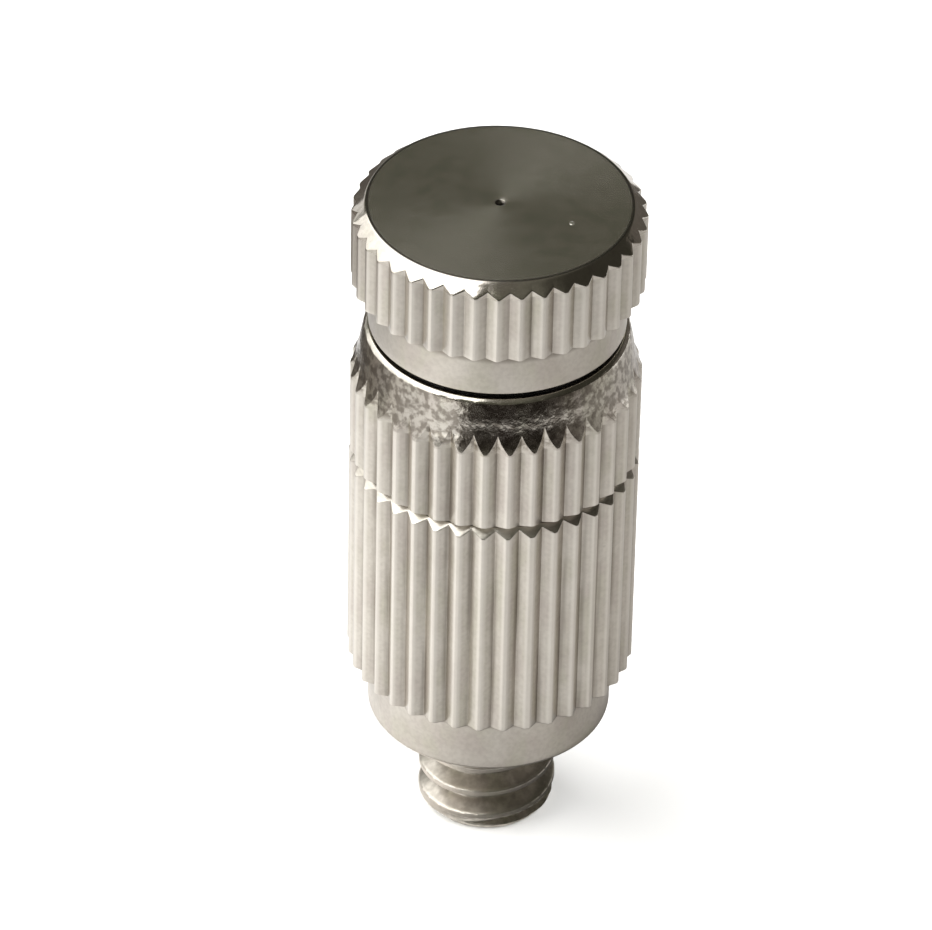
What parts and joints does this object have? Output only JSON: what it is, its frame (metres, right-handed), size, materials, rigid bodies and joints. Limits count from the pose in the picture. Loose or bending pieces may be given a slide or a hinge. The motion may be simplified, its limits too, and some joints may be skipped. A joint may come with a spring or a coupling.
{
  "type": "anti-drip misting nozzle",
  "caption": "Small knurled nickel-plated brass misting nozzle with a male inlet thread, a two-part body and a screw-on spray tip.",
  "frame": {"origin": "centre of the inlet end face of the male thread, the lowest point of the nozzle", "axes": "+Z along the nozzle's axis from the inlet to the spray face; the front, as first shown, faces -Y"},
  "size_m": [0.01, 0.01, 0.0257],
  "materials": {
    "nickel_inlet_body": "satin nickel plate over brass",
    "nickel_collar_body": "satin nickel plate over brass, glossier on the bevel",
    "nickel_spray_tip": "satin nickel plate over brass, fine turned marks on the face",
    "stainless_steel": "machined",
    "black_rubber": "matt",
    "white_acetal": "moulded"
  },
  "bodies": {
    "inlet": {"inlet_body": "nickel_inlet_body", "filter_cage": "white_acetal", "filter_screen": "stainless_steel"},
    "joint_ring": {"body_seal": "black_rubber"},
    "collar": {"collar_body": "nickel_collar_body", "valve_seat": "stainless_steel", "valve_spring": "stainless_steel"},
    "valve": {"valve_plug": "stainless_steel", "valve_pad": "black_rubber"},
    "tip_ring": {"tip_seal": "black_rubber"},
    "tip": {"spray_tip": "nickel_spray_tip", "orifice_insert": "stainless_steel", "core_clip": "stainless_steel"},
    "core": {"swirl_core": "stainless_steel"}
  },
  "joints": [
    {"name": "collar_lift", "type": "slide", "parent": "inlet", "child": "joint_ring", "axis": [0, 0, 1], "range_m": [0, 0.00263]},
    {"name": "collar_unscrew", "type": "hinge", "parent": "joint_ring", "child": "collar", "pos_m": [0, 0, 0.015], "axis": [0, 0, 1], "range_deg": [0, 1260]},
    {"name": "tip_lift", "type": "slide", "parent": "collar", "child": "tip_ring", "axis": [0, 0, 1], "range_m": [0, 0.00225]},
    {"name": "tip_unscrew", "type": "hinge", "parent": "tip_ring", "child": "tip", "pos_m": [0, 0, 0.0205], "axis": [0, 0, 1], "range_deg": [0, 1080]},
    {"name": "valve_opening", "type": "slide", "parent": "collar", "child": "valve", "axis": [0, 0, 1], "range_m": [0, 0.0006], "stiffness_N_per_m": 800, "springref_m": -0.001, "deforming": ["valve_spring"]},
    {"name": "core_float", "type": "slide", "parent": "tip", "child": "core", "axis": [0, 0, 1], "range_m": [0, 0.0003]}
  ],
  "couplings": [
    {"joint": "collar_unscrew", "follows": "collar_lift", "rad_per_m": 8377.6},
    {"joint": "tip_unscrew", "follows": "tip_lift", "rad_per_m": 8377.6}
  ]
}
